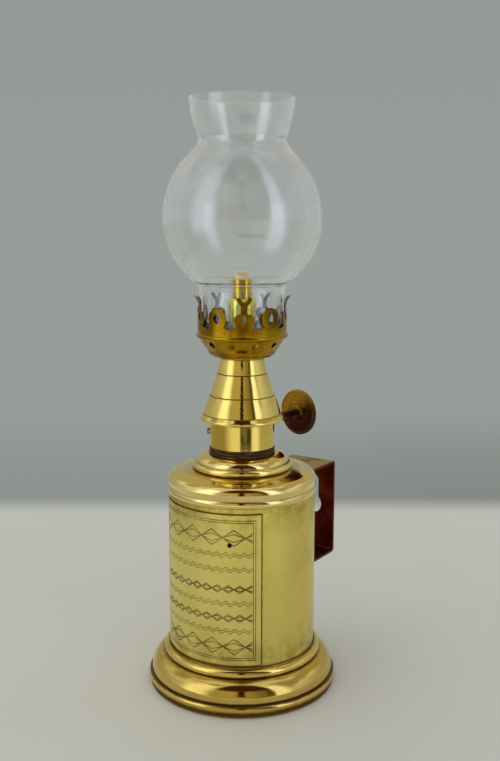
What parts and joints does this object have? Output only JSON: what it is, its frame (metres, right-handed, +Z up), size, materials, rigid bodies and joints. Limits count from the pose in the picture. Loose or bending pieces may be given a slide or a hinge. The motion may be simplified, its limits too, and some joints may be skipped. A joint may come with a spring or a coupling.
{
  "type": "gasoline safety lamp",
  "caption": "Small brass lamp with a cotton-filled can, screw-on burner, knob-raised wick, pierced gallery, clear glass globe and a wall bracket that doubles as a handle.",
  "frame": {"origin": "centre of the foot's underside, on the lamp's axis", "axes": "+Z up along the lamp's axis, +Y towards the wall bracket's back, -Y towards the label plate"},
  "size_m": [0.0794, 0.1002, 0.2402],
  "materials": {
    "polished_brass": "polished",
    "can_brass": "satin",
    "label_brass": "satin, engraved border",
    "gallery_brass": "darkened",
    "tarnished_brass": "tarnished brown",
    "plain_brass": "plain",
    "screw_steel": "plain",
    "washer_leather": "oily",
    "cotton": "loose",
    "wick_cotton": "woven",
    "clear_glass": "clear, blown"
  },
  "bodies": {
    "reservoir": {"foot": "polished_brass", "foot_plate": "plain_brass", "reservoir_body": "can_brass", "label_plate": "label_brass", "reservoir_shoulder": "polished_brass", "neck_ring": "polished_brass", "cotton_filling": "cotton", "filling_screen": "plain_brass", "wall_bracket": "tarnished_brass"},
    "washer": {"neck_washer": "washer_leather"},
    "burner": {"burner_collar": "polished_brass", "guide_plate": "plain_brass", "cone_flange": "polished_brass", "burner_cone": "polished_brass", "wick_tube": "polished_brass", "tube_sleeve": "polished_brass", "gallery_bowl": "gallery_brass", "gallery_crown": "gallery_brass", "shaft_bush": "tarnished_brass", "collar_screw": "screw_steel"},
    "knob": {"knob_shaft": "tarnished_brass", "pinion": "plain_brass", "control_knob": "tarnished_brass"},
    "wick_slide": {"wick_carrier": "plain_brass", "wick_rack": "plain_brass", "wick": "wick_cotton"},
    "globe": {"glass_globe": "clear_glass"}
  },
  "joints": [
    {"name": "burner_lift", "type": "slide", "parent": "reservoir", "child": "washer", "axis": [0, 0, 1], "range_m": [0, 0.006]},
    {"name": "burner_unscrew", "type": "hinge", "parent": "washer", "child": "burner", "pos_m": [0, 0, 0.1013], "axis": [0, 0, 1], "range_deg": [0, 1440]},
    {"name": "knob_turn", "type": "hinge", "parent": "burner", "child": "knob", "pos_m": [0.00453, 0.01948, 0.1103], "axis": [0.2267, 0.974, 0], "range_deg": [-171, 171]},
    {"name": "wick_raise", "type": "slide", "parent": "burner", "child": "wick_slide", "axis": [0, 0, 1], "range_m": [-0.006, 0.006]},
    {"name": "globe_lift", "type": "slide", "parent": "burner", "child": "globe", "axis": [0, 0, 1], "range_m": [0, 0.03]}
  ],
  "couplings": [
    {"joint": "burner_lift", "follows": "burner_unscrew", "m_per_rad": 0.00023873},
    {"joint": "wick_raise", "follows": "knob_turn", "m_per_rad": 0.002}
  ]
}
